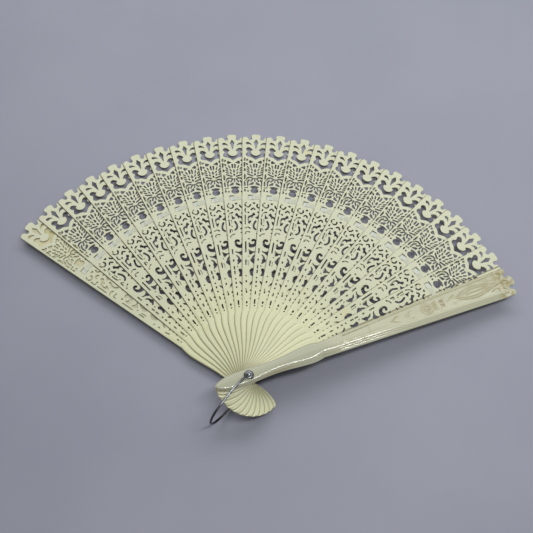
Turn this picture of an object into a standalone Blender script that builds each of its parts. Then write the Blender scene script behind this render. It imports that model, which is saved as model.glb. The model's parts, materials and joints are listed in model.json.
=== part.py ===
"""Brise folding fan: pierced sticks between two guards on one rivet, a ribbon and a wire bail.

Blender 4.5, metres, +Z up. The origin is the centre of the rivet's lower face. The fan lies
open as on a table: it leans on the rivet and on the tips of its middle sticks.
"""

import math

import bmesh
import bpy
from mathutils import Vector

MM = 0.001

# Driving dimensions
REACH = 180.0 * MM  # rivet to the top of a stick's lobe
HEAD_REACH = 20.7 * MM  # rivet to the rounded end behind it
STICKS = 22  # pierced sticks between the guards
SPREAD = math.radians(121.7)  # front guard to back guard, fan open
GUARD_SPLAY = math.radians(0.7)  # the front guard stands this much past the sticks' steps
STICK_THICK = 0.60 * MM
STICK_GAP = 0.23 * MM  # between neighbours, where the ribbon lies
GUARD_THICK = 2.2 * MM
RIBBON_REACH = 128.2 * MM  # rivet to the ribbon's middle
RIBBON_WIDTH = 3.2 * MM
RIBBON_THICK = 0.10 * MM
SLOT_SHIFT = -1.8 * MM  # the slots lie left of a stick's middle
PIN_RADIUS = 1.25 * MM
PIN_CLEARANCE = 0.10 * MM
WIRE_RADIUS = 0.70 * MM
WIRE_CLEARANCE = 0.12 * MM  # beside the bail's eyes
BAIL_REACH = 33.5 * MM  # rivet to the far side of the bail's bend
BAIL_ANGLE = math.radians(237.0)
FOOT_THICK = 0.7 * MM
FOOT_RADIUS = 2.3 * MM
HEAD_RADIUS = 1.9 * MM
DOME_HEIGHT = 1.3 * MM

# Levels above the rivet's lower face, in the fan's own frame
PITCH = STICK_THICK + STICK_GAP
EYE_SPACE = 2 * (WIRE_RADIUS + WIRE_CLEARANCE)
BACK_Z = FOOT_THICK + EYE_SPACE
LOWEST_STICK_Z = BACK_Z + GUARD_THICK + STICK_GAP
FRONT_Z = LOWEST_STICK_Z + STICKS * PITCH
TOP_Z = FRONT_Z + GUARD_THICK

STEP = (SPREAD - GUARD_SPLAY) / STICKS
FIRST_ANGLE = (math.pi - STICKS * STEP) / 2  # measured from +X, so the middle stick is along +Y
FRONT_ANGLE = FIRST_ANGLE - GUARD_SPLAY

# Resting lean: the table touches the rivet's foot and the middle sticks' tips, and a
# stack that turns as it climbs also slopes sideways by one pitch for each step
SLOPE_FORWARD = (LOWEST_STICK_Z + (STICKS / 2) * PITCH) / REACH
SLOPE_SIDE = (PITCH / STEP) / REACH


def clear_scene():
    for thing in list(bpy.data.objects):
        bpy.data.objects.remove(thing, do_unlink=True)
    for group in list(bpy.data.collections):
        bpy.data.collections.remove(group)


def new_collection(name):
    group = bpy.data.collections.new(name)
    bpy.context.scene.collection.children.link(group)
    return group


def new_material(name, color, roughness, metallic=0.0):
    material = bpy.data.materials.new(name)
    material.use_nodes = True
    shader = material.node_tree.nodes["Principled BSDF"]
    shader.inputs["Base Color"].default_value = (*color, 1.0)
    shader.inputs["Roughness"].default_value = roughness
    shader.inputs["Metallic"].default_value = metallic
    return material


def place(name, data, material, parent, height=0.0, angle=None):
    """Links an object on the rivet's axis; a stick drawn along +Y is turned to its angle."""
    thing = bpy.data.objects.new(name, data)
    fan_parts.objects.link(thing)
    thing.parent = parent
    thing.location.z = height
    if angle is not None:
        thing.rotation_euler.z = angle - math.pi / 2
    if not data.materials:
        data.materials.append(material)
    return thing


def arc(center, radius, start, end, count):
    """Points on an arc, angles in degrees from +X."""
    points = []
    for k in range(count):
        t = math.radians(start + (end - start) * k / (count - 1))
        points.append((center[0] + radius * math.cos(t), center[1] + radius * math.sin(t)))
    return points


def mirrored(points):
    return [(-x, y) for x, y in reversed(points)]


def flat_mesh(name, outlines, thickness):
    """A plate from a filled 2D curve, standing on z = 0: the first outline, less the others."""
    curve = bpy.data.curves.new(name, "CURVE")
    curve.dimensions = "2D"
    curve.fill_mode = "BOTH"
    curve.extrude = thickness / 2
    for outline in outlines:
        spline = curve.splines.new("POLY")
        spline.points.add(len(outline) - 1)
        for point, (x, y) in zip(spline.points, outline):
            point.co = (x, y, 0.0, 1.0)
        spline.use_cyclic_u = True
    return curve_to_mesh(name, curve, thickness / 2)


def curve_to_mesh(name, curve, lift=0.0):
    """A welded mesh from a curve, raised by lift; the curve is removed."""
    drawn = bpy.data.objects.new(name + "_curve", curve)
    bpy.context.scene.collection.objects.link(drawn)
    graph = bpy.context.evaluated_depsgraph_get()
    mesh = bpy.data.meshes.new_from_object(drawn.evaluated_get(graph))
    bpy.data.objects.remove(drawn, do_unlink=True)
    mesh.name = name
    shape = bmesh.new()
    shape.from_mesh(mesh)
    bmesh.ops.remove_doubles(shape, verts=shape.verts, dist=1e-6)
    bmesh.ops.translate(shape, verts=shape.verts, vec=(0.0, 0.0, lift))
    bmesh.ops.recalc_face_normals(shape, faces=shape.faces)
    shape.to_mesh(mesh)
    shape.free()
    return mesh


def half_width(radius):
    """Half the width of a stick's blade at a distance from the rivet."""
    return 3.2 * MM + 0.0365 * radius


def stick_outline():
    """Lobed tip, straight tapering blade, waisted gorge and rounded head, along +Y."""
    tip = REACH
    shoulder = half_width(tip)
    left_tip = [
        (-3.2 * MM, tip - 1.2 * MM),
        (-3.4 * MM, tip - 5.0 * MM),
        (-5.4 * MM, tip - 5.4 * MM),
        (-6.4 * MM, tip - 2.8 * MM),
        (-shoulder + 1.2 * MM, tip - 2.4 * MM),
        (-shoulder, tip - 4.0 * MM),
    ]
    head = HEAD_REACH
    left_gorge = [
        (-half_width(47 * MM), 47 * MM),
        (-5.9 * MM, 40 * MM),
        (-5.1 * MM, 30 * MM),
        (-4.0 * MM, 18 * MM),
        (-4.2 * MM, 4 * MM),
        (-4.7 * MM, 4 * MM - 0.6 * head),
    ]
    left = [(-1.6 * MM, tip)] + left_tip + left_gorge
    end = arc((0.0, 4.2 * MM - head), 4.2 * MM, 200, 340, 5)
    return left + end + mirrored(left)


def pin_hole():
    return arc((0.0, 0.0), PIN_RADIUS + PIN_CLEARANCE, 0, 330, 12)


def ribbon_slot():
    half = RIBBON_WIDTH / 2 + 0.2 * MM
    wide = 1.3 * MM
    low, high = RIBBON_REACH - half, RIBBON_REACH + half
    left, right = SLOT_SHIFT - wide, SLOT_SHIFT + wide
    return [(left, low), (right, low), (right, high), (left, high)]


def tip_openings():
    """The palmette's lozenge, the crescent below it and the rosette with its bell."""
    top = REACH
    lozenge = [(0.0, top - 4.6 * MM), (-1.7 * MM, top - 7.2 * MM)]
    lozenge += [(0.0, top - 12.6 * MM), (1.7 * MM, top - 7.2 * MM)]
    left = [(-4.7 * MM, top - 11.4 * MM), (-6.6 * MM, top - 14.0 * MM)]
    left += [(-6.6 * MM, top - 18.8 * MM)]
    inner = [(2.9 * MM, top - 15.4 * MM), (0.0, top - 17.6 * MM), (-2.9 * MM, top - 15.4 * MM)]
    crescent = left + [(0.0, top - 21.4 * MM)] + mirrored(left) + inner
    middle = (0.0, top - 35.6 * MM)
    openings = [lozenge, crescent]
    for turn in (45, 135, 225, 315):
        outer = arc(middle, 7.2 * MM, turn - 28, turn + 28, 2)
        openings.append(outer + arc(middle, 2.0 * MM, turn + 20, turn - 20, 2))
    bell = [(-2.3 * MM, top - 48.6 * MM), (2.3 * MM, top - 48.6 * MM)]
    bell += [(2.3 * MM, top - 44.6 * MM), (-2.3 * MM, top - 44.6 * MM)]
    openings.append(bell)
    return openings


def scroll_openings():
    """The larger openings of the scrollwork between the ribbon and the gorge."""
    scroll = [
        [(-1.2, 110.0), (0.2, 107.0), (-1.5, 103.4), (-0.3, 103.0), (1.3, 107.0), (0.0, 110.4)],
        [(0.4, 95.8), (-2.4, 94.6), (-1.8, 91.4), (2.2, 90.6), (2.2, 93.0), (-0.6, 93.2)],
        [(-1.8, 85.0), (0.9, 82.4), (0.8, 80.2), (-1.6, 78.6), (-0.4, 81.6)],
        [(-1.2, 75.4), (0.9, 74.6), (0.9, 70.0), (-0.9, 69.8)],
        [(-2.9, 53.2), (-2.0, 53.2), (-2.0, 49.6), (-2.9, 49.6)],
    ]
    blade = REACH / 180.0
    return [[(x * MM, y * blade) for x, y in hole] for hole in scroll]


def stick_mesh():
    outlines = [stick_outline(), pin_hole(), ribbon_slot()]
    return flat_mesh("stick", outlines + tip_openings() + scroll_openings(), STICK_THICK)


def guard_mesh(name):
    """A thick, unpierced stick."""
    return flat_mesh(name, [stick_outline(), pin_hole()], GUARD_THICK)


def cutter_box(name, center, size, parent, angle, height):
    """A box for the guards' sunk panels, placed like the guard it cuts."""
    mesh = bpy.data.meshes.new(name)
    shape = bmesh.new()
    bmesh.ops.create_cube(shape, size=1.0)
    bmesh.ops.scale(shape, verts=shape.verts, vec=size)
    bmesh.ops.translate(shape, verts=shape.verts, vec=center)
    shape.to_mesh(mesh)
    shape.free()
    cutter = bpy.data.objects.new(name, mesh)
    cutters.objects.link(cutter)
    cutter.parent = parent
    cutter.location.z = height
    cutter.rotation_euler.z = angle - math.pi / 2
    cutter.hide_render = True
    cutter.display_type = "WIRE"
    return cutter


def sink_panels(guard, parent, angle, height, face):
    """Three shallow panels and the ribbon's notch in a guard's outer face, at z = face."""
    depth = 0.5 * MM
    panels = [
        ("oval", 138.0 * MM, 168.0 * MM, 7.0 * MM),
        ("square", 109.0 * MM, 124.0 * MM, 7.6 * MM),
        ("scroll", 61.0 * MM, 106.0 * MM, 5.0 * MM),
        ("notch", RIBBON_REACH - 0.9 * MM, RIBBON_REACH + 0.9 * MM, 4.4 * MM),
    ]
    for label, low, high, width in panels:
        center = (0.0, (low + high) / 2, face)
        size = (width, high - low, 2 * depth)
        cut = guard.modifiers.new(label, "BOOLEAN")
        cut.operation = "DIFFERENCE"
        cut.object = cutter_box(f"{guard.name}_{label}", center, size, parent, angle, height)


def build_guards(ivory, parent):
    back_angle = FRONT_ANGLE + SPREAD
    front = place("front_guard", guard_mesh("front_guard"), ivory, parent, FRONT_Z, FRONT_ANGLE)
    sink_panels(front, parent, FRONT_ANGLE, FRONT_Z, GUARD_THICK)
    back = place("back_guard", guard_mesh("back_guard"), ivory, parent, BACK_Z, back_angle)
    sink_panels(back, parent, back_angle, BACK_Z, 0.0)


def stick_height(number):
    """Stick 1 is next to the front guard, on top of the stack."""
    return LOWEST_STICK_Z + (STICKS - number) * PITCH


def stick_angle(number):
    return FIRST_ANGLE + number * STEP


def build_sticks(ivory, parent):
    mesh = stick_mesh()
    for number in range(1, STICKS + 1):
        name = f"stick_{number:02d}"
        place(name, mesh, ivory, parent, stick_height(number), stick_angle(number))


def ribbon_mesh(name, length):
    """A strip on a stick's upper side, from its slot towards the next stick's slot."""
    left = SLOT_SHIFT
    low, high = RIBBON_REACH - RIBBON_WIDTH / 2, RIBBON_REACH + RIBBON_WIDTH / 2
    outline = [(left, low), (left + length, low), (left + length, high), (left, high)]
    return flat_mesh(name, [outline], RIBBON_THICK)


def build_ribbon(satin, parent):
    """One strip lies on each stick, and a short end is glued between the last and the guard."""
    span = RIBBON_REACH * math.sin(STEP)
    side_gap = (STICK_GAP - RIBBON_THICK) / 2
    mesh = ribbon_mesh("ribbon", span)
    for number in range(1, STICKS + 1):
        height = stick_height(number) + STICK_THICK + side_gap
        place(f"ribbon_{number:02d}", mesh, satin, parent, height, stick_angle(number))
    end = ribbon_mesh("ribbon_end", 6.0 * MM)
    height = LOWEST_STICK_Z - STICK_GAP + side_gap
    place("ribbon_end", end, satin, parent, height, stick_angle(STICKS))


def build_rivet(steel, parent):
    """A turned pin with a domed head above and a clenched foot below."""
    head_z = TOP_Z + EYE_SPACE
    profile = [(0.0, head_z + DOME_HEIGHT)]
    for degrees in (65, 40, 15):
        t = math.radians(degrees)
        profile.append((HEAD_RADIUS * math.cos(t), head_z + DOME_HEIGHT * math.sin(t)))
    profile += [(HEAD_RADIUS, head_z), (PIN_RADIUS, head_z), (PIN_RADIUS, FOOT_THICK)]
    profile += [(FOOT_RADIUS, FOOT_THICK), (FOOT_RADIUS, 0.15 * MM)]
    profile += [(FOOT_RADIUS - 0.3 * MM, 0.0), (0.0, 0.0)]
    mesh = bpy.data.meshes.new("rivet")
    edges = [(k, k + 1) for k in range(len(profile) - 1)]
    mesh.from_pydata([(r, 0.0, z) for r, z in profile], edges, [])
    rivet = place("rivet", mesh, steel, parent)
    turn = rivet.modifiers.new("turn", "SCREW")
    turn.steps = 24
    turn.render_steps = 24
    turn.use_merge_vertices = True
    turn.merge_threshold = 0.00001


def build_bail(steel, parent):
    """A wire loop: an eye round the rivet above, an arm, a bend, an arm and an eye below."""
    low_z = FOOT_THICK + EYE_SPACE / 2
    high_z = TOP_Z + EYE_SPACE / 2
    bend = (high_z - low_z) / 2
    eye = PIN_RADIUS + 0.3 * MM + WIRE_RADIUS
    turn_in = BAIL_REACH - WIRE_RADIUS - bend
    ring = arc((0.0, 0.0), eye, 290, 20, 11)
    path = [(x, y, high_z) for x, y in ring]
    for t in [math.radians(-90 + 15 * k) for k in range(13)]:
        path.append((turn_in + bend * math.cos(t), 0.0, (low_z + high_z) / 2 - bend * math.sin(t)))
    path += [(x, y, low_z) for x, y in reversed(ring)]
    curve = bpy.data.curves.new("bail", "CURVE")
    curve.dimensions = "3D"
    curve.bevel_depth = WIRE_RADIUS
    curve.bevel_resolution = 2
    curve.use_fill_caps = True
    spline = curve.splines.new("POLY")
    spline.points.add(len(path) - 1)
    for point, place_at in zip(spline.points, path):
        point.co = (*place_at, 1.0)
    mesh = curve_to_mesh("bail", curve)
    bail = place("bail", mesh, steel, parent)
    bail.rotation_euler.z = BAIL_ANGLE


clear_scene()
fan_parts = new_collection("folding_fan")
cutters = new_collection("cutters")
fan = bpy.data.objects.new("fan", None)
fan_parts.objects.link(fan)
fan.rotation_mode = "QUATERNION"
table_normal = Vector((-SLOPE_SIDE, -SLOPE_FORWARD, 1.0))
fan.rotation_quaternion = table_normal.rotation_difference(Vector((0.0, 0.0, 1.0)))

stick_ivory = new_material("stick_ivory", (0.78, 0.74, 0.55), 0.32)
guard_ivory = new_material("guard_ivory", (0.70, 0.64, 0.44), 0.22)
ribbon_satin = new_material("ribbon_satin", (0.85, 0.86, 0.84), 0.45)
rivet_steel = new_material("rivet_steel", (0.45, 0.46, 0.47), 0.25, 1.0)
bail_steel = new_material("bail_steel", (0.38, 0.38, 0.38), 0.30, 1.0)

build_guards(guard_ivory, fan)
build_sticks(stick_ivory, fan)
build_ribbon(ribbon_satin, fan)
build_rivet(rivet_steel, fan)
build_bail(bail_steel, fan)
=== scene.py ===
"""Brise folding fan of cream plastic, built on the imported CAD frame."""

import json
import math

import bmesh
import bpy
import numpy as np
from mathutils import Matrix, Vector
from mathutils.geometry import delaunay_2d_cdt


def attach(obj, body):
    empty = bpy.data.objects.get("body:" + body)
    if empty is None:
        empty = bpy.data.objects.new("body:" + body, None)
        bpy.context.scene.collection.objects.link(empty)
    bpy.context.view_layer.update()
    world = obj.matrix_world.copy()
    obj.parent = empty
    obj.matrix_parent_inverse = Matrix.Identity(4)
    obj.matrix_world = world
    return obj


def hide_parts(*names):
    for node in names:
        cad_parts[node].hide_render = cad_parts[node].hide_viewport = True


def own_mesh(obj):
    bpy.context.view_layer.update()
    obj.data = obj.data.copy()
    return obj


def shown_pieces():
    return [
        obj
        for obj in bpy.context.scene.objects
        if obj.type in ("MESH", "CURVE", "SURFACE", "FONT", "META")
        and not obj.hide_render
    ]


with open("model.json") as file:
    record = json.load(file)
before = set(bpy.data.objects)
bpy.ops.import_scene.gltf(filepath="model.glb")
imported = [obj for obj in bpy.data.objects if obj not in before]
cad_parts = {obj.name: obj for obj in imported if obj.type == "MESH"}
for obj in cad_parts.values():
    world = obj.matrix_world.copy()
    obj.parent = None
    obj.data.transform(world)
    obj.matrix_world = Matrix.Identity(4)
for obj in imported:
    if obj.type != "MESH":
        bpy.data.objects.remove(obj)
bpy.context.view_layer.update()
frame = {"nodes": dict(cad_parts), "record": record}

MM = 0.001

# ---------------------------------------------------------------- the fan's own frame
record = frame["record"]
joints = {joint["name"]: joint for joint in record["behaviour"]["joints"]}
FOLD = joints["fan_fold"]
AXIS = Vector(FOLD["axis"]).normalized()
SPREAD = math.radians(FOLD["range_deg"][1])
STICKS = 22
STEP = math.radians(round(joints["stick_21_pivot"]["range_deg"][1], 2))
FIRST_ANGLE = (math.pi - STICKS * STEP) / 2
FRONT_ANGLE = FIRST_ANGLE + STICKS * STEP - SPREAD
FAN = Vector((0.0, 0.0, 1.0)).rotation_difference(AXIS).to_matrix().to_4x4()


def node_levels(name):
    """Lowest and highest level of a CAD node along the rivet, in millimetres."""
    back = FAN.inverted()
    heights = [(back @ v.co).z for v in frame["nodes"][name].data.vertices]
    return min(heights) / MM, max(heights) / MM


FRONT_Z, TOP_Z = node_levels("front_guard")
BACK_Z = node_levels("back_guard")[0]
STICK_Z = {k: node_levels(f"stick_{k:02d}")[0] for k in range(1, STICKS + 1)}
THICK = node_levels("stick_01")[1] - STICK_Z[1]
GUARD_THICK = TOP_Z - FRONT_Z
GAP = STICK_Z[1] - STICK_Z[2] - THICK


def stick_angle(number):
    """A stick's direction, from +X; stick 1 is next to the front guard."""
    return FIRST_ANGLE + number * STEP


def stick_place(angle, height):
    """Where a piece drawn along +Y from the rivet goes."""
    turn = Matrix.Rotation(angle - math.pi / 2, 4, "Z")
    return FAN @ turn @ Matrix.Translation((0.0, 0.0, height * MM))


# ---------------------------------------------------------------- outlines, in millimetres
def smooth(points, closed=True, steps=4):
    """A Catmull-Rom curve through the points."""
    p = np.array(points, float)
    n = len(p)
    out = []
    for i in range(n if closed else n - 1):
        if closed:
            a, b, c, d = p[i - 1], p[i], p[(i + 1) % n], p[(i + 2) % n]
        else:
            a, b, c, d = p[max(i - 1, 0)], p[i], p[i + 1], p[min(i + 2, n - 1)]
        for s in range(steps):
            t = s / steps
            out.append(
                0.5
                * (
                    2 * b
                    + (c - a) * t
                    + (2 * a - 5 * b + 4 * c - d) * t * t
                    + (3 * b - a - 3 * c + d) * t**3
                )
            )
    if not closed:
        out.append(p[-1])
    return np.array(out)


CAP_ANGLES = [math.radians(a) for a in (60, 0, -60)]


def slot(points, width, end=None):
    """A slit along a smooth line, from one width to another, with round ends."""
    line = smooth(points, closed=False, steps=3)
    half = np.linspace(width, width if end is None else end, len(line)) / 2
    way = np.gradient(line, axis=0)
    way /= np.linalg.norm(way, axis=1)[:, None]
    side = np.stack([-way[:, 1], way[:, 0]], 1)
    left = line + side * half[:, None]
    right = line - side * half[:, None]

    def cap(center, forward, radius):
        across = np.array([-forward[1], forward[0]])
        ways = [forward * math.cos(t) + across * math.sin(t) for t in CAP_ANGLES]
        return [center + radius * way_out for way_out in ways]

    head = cap(line[-1], way[-1], half[-1])
    tail = cap(line[0], -way[0], half[0])
    return np.array(list(left) + head + list(right[::-1]) + tail)


def oval(x, y, a, b, degrees=0.0, count=10):
    """An ellipse round (x, y) with half axes a and b, turned by some degrees."""
    t = np.linspace(0, 2 * math.pi, count, endpoint=False)
    turn = math.radians(degrees)
    u, v = a * np.cos(t), b * np.sin(t)
    across = x + u * math.cos(turn) - v * math.sin(turn)
    along = y + u * math.sin(turn) + v * math.cos(turn)
    return np.stack([across, along], 1)


def mirrored(points):
    """The points mirrored in the stick's middle line, in the other order."""
    return np.array(points)[::-1] * (-1, 1)


def both(shape):
    """A shape and its mirror image."""
    return [np.array(shape), mirrored(shape)]


BLADE_BASE = 3.2  # half the width that the blade's straight sides would have at the rivet
BLADE_FLARE = 0.0365  # what each millimetre of reach adds to it


def half_width(r):
    """Half the width of the blade at a distance from the rivet."""
    return BLADE_BASE + BLADE_FLARE * r


def stick_outline():
    """Lobed tip, straight tapering blade, waisted gorge and rounded head, along +Y."""
    right_tip = [
        (1.5, 180.0), (2.5, 179.7), (3.1, 179.0), (3.2, 178.0), (2.9, 177.0), (2.85, 176.2),
        (3.2, 175.5), (4.1, 175.1), (5.0, 175.3), (5.5, 176.2), (5.9, 177.1), (6.7, 177.6),
        (7.8, 177.6), (8.9, 177.2), (9.55, 176.3), (half_width(175.0), 175.0),
    ]  # fmt: skip
    right_gorge = [
        (half_width(50), 50), (half_width(47.6), 47.6), (4.75, 46.9), (5.3, 45.0),
        (5.8, 41.5), (5.85, 38.5), (5.6, 35), (5.1, 30), (4.5, 25), (4.1, 20), (3.95, 15),
        (4.0, 10), (4.3, 4), (4.55, -2), (4.65, -8), (4.4, -12.0), (3.7, -15.4), (2.6, -18.4),
        (1.5, -20.1), (0.7, -20.65),
    ]  # fmt: skip
    blade = [(half_width(r), r) for r in range(165, 55, -10)]
    right = np.array(right_tip + blade + right_gorge)
    bottom = np.array([(0.0, -20.7)])
    top = np.array([(0.0, 180.0)])
    return np.concatenate([top, right, bottom, mirrored(right)])


def palmette():
    """The openings of the tip: a lozenge, a crescent below it and two leaves."""
    lozenge = [(0, 175.9), (0.7, 174.7), (1.6, 173.1), (1.15, 171.9), (0.75, 170.3), (0.4, 168.6)]
    lozenge = np.array(lozenge + [(0, 167.5)] + [(-x, y) for x, y in lozenge[:0:-1]])
    leaf = smooth(
        [(3.0, 170.7), (3.4, 171.8), (4.3, 172.7), (5.5, 173.3), (6.6, 173.1), (7.0, 172.4),
         (6.5, 171.5), (5.6, 171.4), (4.6, 171.6), (3.8, 171.3)], steps=2)  # fmt: skip
    outer = [
        (1.2, 159.5), (2.6, 160.5), (4.0, 161.0), (5.4, 161.2), (6.4, 161.9), (6.8, 163.0),
        (6.3, 164.1), (5.6, 164.9), (5.8, 165.8), (6.6, 166.8), (6.6, 167.9), (5.8, 168.7),
        (4.7, 168.9), (3.4, 168.2), (2.1, 166.8),
    ]  # fmt: skip
    inner = [(2.6, 166.2), (3.3, 165.9), (3.4, 164.9), (3.0, 163.8), (1.9, 162.8), (0.9, 162.3)]
    half = smooth([(0.0, 158.6)] + outer, closed=False, steps=2)
    rest = smooth([outer[-1]] + inner + [(0.0, 162.2)], closed=False, steps=2)[1:]
    crescent = np.concatenate([half, rest, mirrored(rest)[1:], mirrored(half)[:-1]])
    return [lozenge, crescent] + both(leaf)


def rosette():
    """The openings of the rosette, its frame and the bell below it."""
    shapes = []
    for shape in (
        [(1.3, 156.8), (2.6, 157.5), (3.7, 158.2), (4.3, 157.4), (4.2, 156.1), (3.5, 155.6),
         (2.4, 156.3)],
        [(5.0, 158.6), (5.4, 157.8), (6.1, 157.6), (6.2, 158.6), (5.6, 159.2)],
        [(6.6, 159.2), (6.6, 157.7), (7.7, 157.4), (7.9, 159.7), (7.2, 160.0)],
        [(4.9, 154.9), (6.0, 155.8), (6.5, 154.9), (5.6, 153.9)],
        [(6.8, 155.9), (7.9, 156.2), (7.9, 152.5), (7.4, 152.3), (7.0, 153.7)],
        [(0.9, 140.6), (1.7, 140.3), (3.5, 138.8), (3.4, 138.1), (2.2, 138.3), (0.8, 138.9)],
        [(6.9, 147.2), (7.4, 145.5), (7.2, 143.0), (6.7, 142.4), (6.3, 144.0), (6.0, 145.4),
         (6.5, 145.8)],
        [(7.5, 151.4), (6.4, 150.7), (6.1, 149.6), (6.6, 149.0), (7.6, 149.4)],
    ):  # fmt: skip
        shapes += both(smooth(shape, steps=2))
    for points, width in (
        ([(0.9, 155.2), (0.95, 154.2), (0.8, 152.7)], 1.0),
        ([(2.7, 152.5), (3.4, 154.2)], 0.8),
        ([(4.2, 151.5), (5.3, 152.8)], 0.8),
        ([(4.2, 149.9), (5.4, 150.8)], 0.8),
        ([(3.9, 148.2), (5.3, 148.9)], 0.8),
        ([(1.9, 149.9), (2.6, 151.2)], 0.75),
        ([(1.5, 145.6), (3.4, 146.2), (5.1, 147.0)], 0.95),
        ([(2.2, 144.1), (4.1, 144.1), (5.5, 143.0)], 1.0),
        ([(1.2, 143.5), (1.9, 142.3), (2.6, 141.2)], 0.95),
        ([(3.8, 142.1), (4.7, 140.6), (4.85, 139.2), (4.6, 137.7)], 0.95),
        ([(5.6, 142.0), (6.5, 140.7), (6.8, 139.2), (6.6, 137.7)], 1.0),
    ):
        shapes += both(slot(points, width))
    shapes.append(slot([(0, 143.6), (0, 141.1)], 0.8))
    drop = [(0, 151.4), (0.7, 149.6), (0.45, 148.7), (-0.45, 148.7), (-0.7, 149.6)]
    shapes.append(smooth(drop, steps=2))
    shapes.append(oval(0, 146.8, 0.65, 0.95))
    for x, y, a, b, turn in (
        (2.2, 148.2, 0.45, 1.05, -28), (5.1, 136.0, 0.8, 0.42, -15), (6.35, 133.7, 0.5, 1.1, -8),
        (4.3, 133.3, 0.6, 0.55, 0), (6.5, 135.8, 0.45, 0.4, 0),
    ):  # fmt: skip
        shapes += both(oval(x, y, a, b, turn))
    bell = [
        (1.2, 137.3), (2.7, 136.9), (2.7, 136.1), (1.5, 135.8), (2.4, 134.4), (2.6, 133.1),
        (1.8, 132.2), (0.8, 131.7),
    ]  # fmt: skip
    bell = np.concatenate([[(0.0, 137.5)], bell, mirrored(bell)])
    return shapes + [bell]


def ribbon_opening():
    """The slot that the ribbon comes up through."""
    return smooth([(-4.2, 126.5), (-2.2, 126.4), (-0.3, 126.5), (-0.25, 128.4), (-0.3, 130.3),
                   (-2.2, 130.4), (-4.2, 130.3), (-4.25, 128.4)], steps=1)  # fmt: skip


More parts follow.
